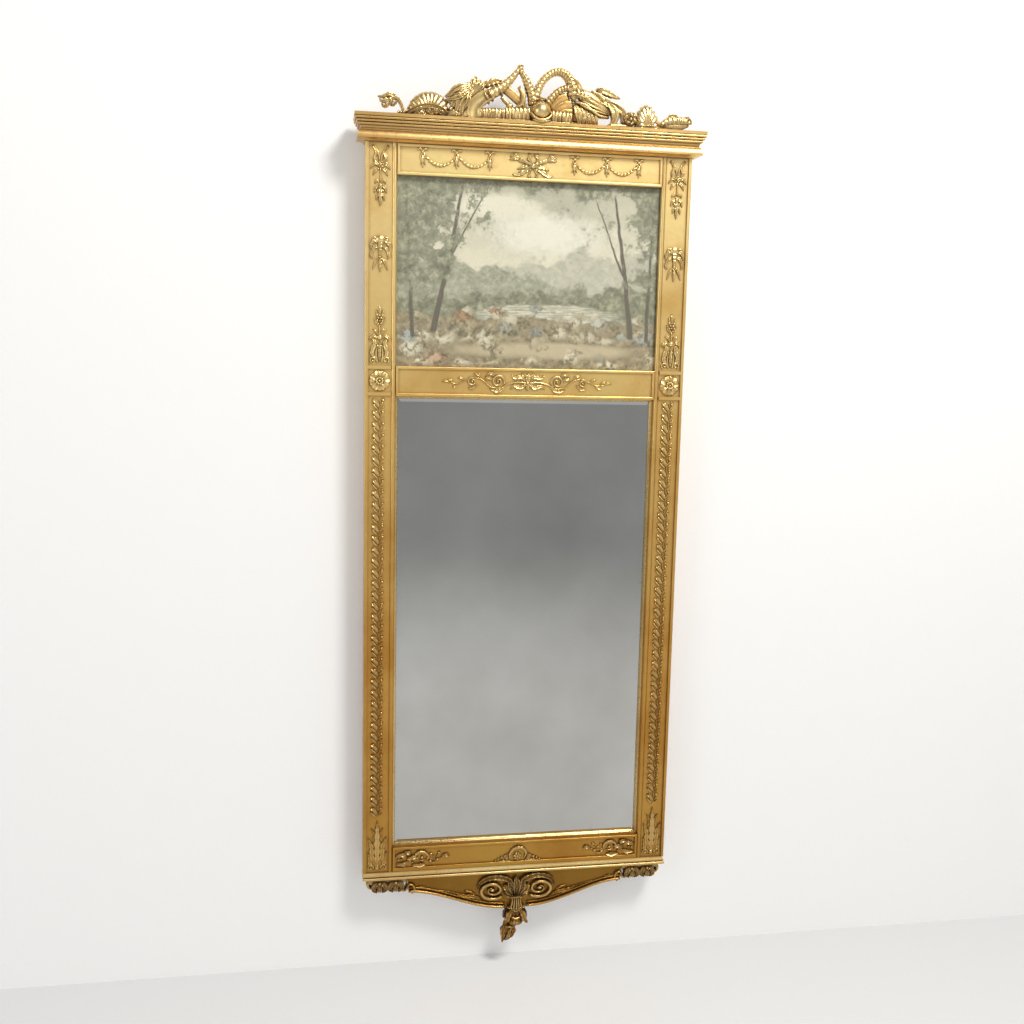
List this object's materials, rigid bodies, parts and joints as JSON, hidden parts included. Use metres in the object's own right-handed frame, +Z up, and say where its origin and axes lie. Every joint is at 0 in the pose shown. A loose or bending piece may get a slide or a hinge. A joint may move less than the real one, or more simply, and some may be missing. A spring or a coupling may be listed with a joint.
{
  "type": "trumeau mirror",
  "caption": "Tall gilt wall mirror: framed print over a bevelled plate, moulded cornice with carved ribbon crest, pilaster stiles with applied ornament, scrolled apron with pendant.",
  "frame": {"origin": "on the wall plane, at the centre of the middle rail's back face", "axes": "+X to the viewer's right, +Y out of the back towards the wall (the front faces -Y), +Z up"},
  "size_m": [0.6406, 0.0693, 1.6739],
  "materials": {
    "gilt": "gilding over gesso, rubbed on the edges",
    "gilt_pale": "bright gilding over gesso",
    "gilt_dark": "toned gilding over gesso",
    "mirror": "silvered plate with a ground bevel",
    "glass": "clear cover glass",
    "print": "colour print on card",
    "pine": "aged bare pine",
    "iron": "dark iron"
  },
  "bodies": {
    "frame": {"stile_left": "gilt", "stile_right": "gilt", "top_rail": "gilt", "middle_rail": "gilt", "bottom_rail": "gilt", "base_board": "gilt", "block_fillets": "gilt", "rosette_left": "gilt", "rosette_right": "gilt", "vine_left": "gilt", "vine_right": "gilt", "foot_acanthus_left": "gilt", "foot_acanthus_right": "gilt", "ribbon_drop_left": "gilt", "ribbon_drop_right": "gilt", "torch_left": "gilt", "torch_right": "gilt", "lyre_left": "gilt", "lyre_right": "gilt", "swag_left": "gilt", "swag_right": "gilt", "frieze_emblem": "gilt", "middle_arabesque": "gilt", "spray_left": "gilt", "spray_right": "gilt", "bottom_palmette": "gilt", "mirror_slip": "gilt", "cornice_front": "gilt_pale", "cornice_return_left": "gilt_pale", "cornice_return_right": "gilt_pale", "crest_bow_left": "gilt_pale", "crest_bow_right": "gilt_pale", "crest_ribbon_tails": "gilt_pale", "crest_knot": "gilt_pale", "crest_leaves_left": "gilt_pale", "crest_quiver": "gilt_pale", "crest_leaves_right": "gilt_pale", "crest_bud_left": "gilt_pale", "crest_bud_right": "gilt_pale", "apron_board": "gilt_dark", "apron_scroll_left": "gilt_dark", "apron_scroll_right": "gilt_dark", "apron_acanthus": "gilt_dark", "apron_end_left": "gilt_dark", "apron_end_right": "gilt_dark", "pendant_husk": "gilt_dark", "pendant_bud": "gilt_dark", "mirror_plate": "mirror", "picture_glass": "glass", "picture_print": "print", "cornice_core": "pine", "picture_backboard": "pine", "mirror_blocks": "pine", "mirror_backboards": "pine", "picture_sprigs": "iron", "hanger_strap_left": "iron", "hanger_strap_right": "iron", "hanger_screws": "iron"},
    "ring_left": {"hanger_ring_left": "iron"},
    "ring_right": {"hanger_ring_right": "iron"}
  },
  "joints": [
    {"name": "ring_left_swing", "type": "hinge", "parent": "frame", "child": "ring_left", "pos_m": [-0.272, -0.0051, 0.15], "axis": [1, 0, 0], "range_deg": [0, 180]},
    {"name": "ring_right_swing", "type": "hinge", "parent": "frame", "child": "ring_right", "pos_m": [0.272, -0.0051, 0.15], "axis": [1, 0, 0], "range_deg": [0, 180]}
  ]
}
